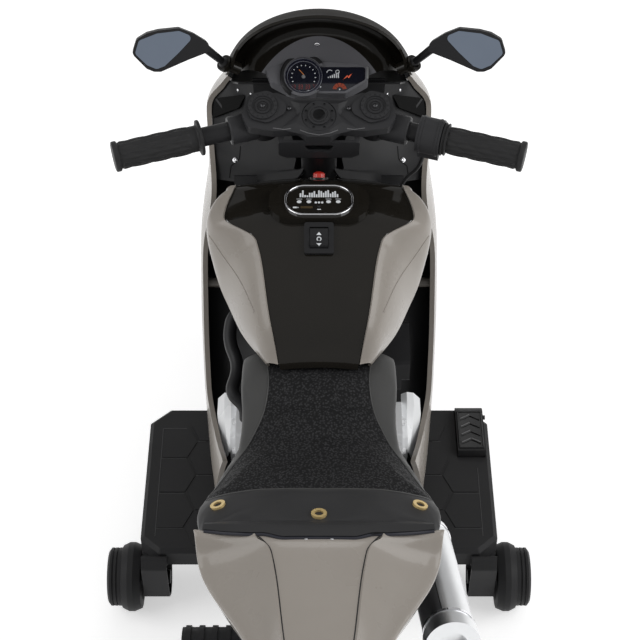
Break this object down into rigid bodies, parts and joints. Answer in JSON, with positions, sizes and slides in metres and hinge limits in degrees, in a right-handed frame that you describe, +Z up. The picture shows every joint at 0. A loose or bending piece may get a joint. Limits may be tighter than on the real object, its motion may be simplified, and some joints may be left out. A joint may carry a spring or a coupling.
{
  "type": "kids electric motorbike",
  "caption": "Battery ride-on sport motorbike for a child, with steered front wheel, driven rear wheel, stabiliser wheels, footboards, foot pedal, twist throttle, switches and mirrors.",
  "frame": {"origin": "on the ground, under the middle of the motorbike's outer box", "axes": "+Y forward, +X to the rider's right, +Z up"},
  "size_m": [0.536, 1.0254, 0.7276],
  "materials": {
    "paint": "gloss taupe-grey paint",
    "black_gloss": "gloss black moulding",
    "black_plastic": "satin black moulding",
    "board_plastic": "matt black textured moulding",
    "grip_rubber": "ribbed black rubber",
    "tyre": "matt black tyre with three grooves",
    "rim": "satin dark grey wheel centre",
    "steel": "plain steel",
    "bracket_metal": "black painted bracket",
    "silver": "silver coated moulding",
    "chrome": "chrome trim",
    "brass": "brass eyelets",
    "seat_cover": "black grained seat cover with smooth sides",
    "screen": "gloss black opaque windscreen",
    "mirror": "mirror glass",
    "dash": "printed instrument face",
    "red": "red push button",
    "lamp": "clear headlight lens over a bright reflector",
    "tail_lamp": "red tail light lens",
    "gear": "plain nylon gear",
    "battery": "sealed battery case"
  },
  "bodies": {
    "chassis": {"frame_left": "black_plastic", "frame_right": "black_plastic", "battery": "battery", "rear_axle": "steel", "gearbox_case": "black_plastic", "drive_motor": "black_plastic", "rear_mudguard": "black_plastic", "footboard_left": "board_plastic", "footboard_right": "board_plastic", "stabiliser_arms": "bracket_metal", "tank_cover": "black_gloss", "tank_side_left": "paint", "tank_side_right": "paint", "music_bezel": "chrome", "music_panel": "dash", "switch_frame": "black_plastic", "seat_base": "black_plastic", "seat_pad": "seat_cover", "seat_eyelets": "brass", "tail_top": "paint", "tail_side_left": "paint", "tail_side_right": "paint", "tail_light": "tail_lamp", "headlights": "lamp", "nose_cowl": "paint", "windscreen": "screen", "side_fairing_left": "paint", "side_fairing_right": "paint", "inner_panels": "black_plastic", "dash_housing": "black_plastic", "dash_face": "dash", "engine_covers": "silver", "silencer": "silver"},
    "steering": {"top_yoke": "black_plastic", "yoke_caps": "black_plastic", "steering_column": "black_plastic", "fork_legs": "black_plastic", "front_axle": "steel", "handlebars": "black_plastic", "grip_left": "grip_rubber", "throttle_housing": "black_plastic", "front_mudguard": "paint", "throttle_cable": "grip_rubber"},
    "throttle": {"throttle_grip": "grip_rubber"},
    "front_wheel": {"front_tyre": "tyre", "front_rim": "rim"},
    "rear_wheel": {"rear_tyre": "tyre", "rear_rim": "rim", "wheel_gear": "gear"},
    "idler": {"idler_gear": "gear"},
    "pinion": {"motor_pinion": "steel"},
    "pedal": {"foot_pedal": "board_plastic"},
    "stabiliser_left": {"stabiliser_wheel_left": "board_plastic"},
    "stabiliser_right": {"stabiliser_wheel_right": "board_plastic"},
    "rocker": {"rocker": "black_plastic"},
    "button": {"start_button": "red"},
    "mirror_l": {"mirror_left": "black_plastic", "mirror_glass_left": "mirror"},
    "mirror_r": {"mirror_right": "black_plastic", "mirror_glass_right": "mirror"}
  },
  "joints": [
    {"name": "steering_turn", "type": "hinge", "parent": "chassis", "child": "steering", "pos_m": [0, 0.168, 0.622], "axis": [0, -0.3746, 0.9272], "range_deg": [-25, 25], "deforming": ["throttle_cable"]},
    {"name": "front_wheel_spin", "type": "hinge", "parent": "steering", "child": "front_wheel", "pos_m": [0, 0.3777, 0.135], "axis": [1, 0, 0], "continuous": true},
    {"name": "rear_wheel_spin", "type": "hinge", "parent": "chassis", "child": "rear_wheel", "pos_m": [0, -0.345, 0.135], "axis": [1, 0, 0], "continuous": true},
    {"name": "idler_spin", "type": "hinge", "parent": "chassis", "child": "idler", "pos_m": [-0.0465, -0.2916, 0.17379], "axis": [1, 0, 0], "continuous": true},
    {"name": "pinion_spin", "type": "hinge", "parent": "chassis", "child": "pinion", "pos_m": [-0.0465, -0.26248, 0.19495], "axis": [1, 0, 0], "continuous": true},
    {"name": "stabiliser_left_spin", "type": "hinge", "parent": "chassis", "child": "stabiliser_left", "pos_m": [-0.2465, -0.049, 0.044], "axis": [1, 0, 0], "continuous": true},
    {"name": "stabiliser_right_spin", "type": "hinge", "parent": "chassis", "child": "stabiliser_right", "pos_m": [0.2465, -0.049, 0.044], "axis": [1, 0, 0], "continuous": true},
    {"name": "throttle_twist", "type": "hinge", "parent": "steering", "child": "throttle", "pos_m": [0.0635, 0.18498, 0.59866], "axis": [0.9593, -0.278, -0.0502], "range_deg": [0, 40], "stiffness_Nm_per_rad": 0.15, "springref_deg": -11.46},
    {"name": "pedal_press", "type": "hinge", "parent": "chassis", "child": "pedal", "pos_m": [0.199, 0.161, 0.112], "axis": [1, 0, 0], "range_deg": [0, 5], "stiffness_Nm_per_rad": 4, "springref_deg": -2.86},
    {"name": "rocker_tip", "type": "hinge", "parent": "chassis", "child": "rocker", "pos_m": [0, 0.05968, 0.53375], "axis": [1, 0, 0], "range_deg": [-8, 8]},
    {"name": "button_press", "type": "slide", "parent": "chassis", "child": "button", "axis": [0, -0.62, -0.7846], "range_m": [0, 0.0025], "stiffness_N_per_m": 300, "springref_m": -0.001},
    {"name": "mirror_left_turn", "type": "hinge", "parent": "chassis", "child": "mirror_l", "pos_m": [-0.108, 0.24, 0.642], "axis": [0, 0, 1], "range_deg": [-12, 12]},
    {"name": "mirror_right_turn", "type": "hinge", "parent": "chassis", "child": "mirror_r", "pos_m": [0.108, 0.24, 0.642], "axis": [0, 0, 1], "range_deg": [-12, 12]}
  ],
  "couplings": [
    {"joint": "idler_spin", "follows": "rear_wheel_spin", "ratio": -1.75},
    {"joint": "pinion_spin", "follows": "rear_wheel_spin", "ratio": 3.5}
  ]
}
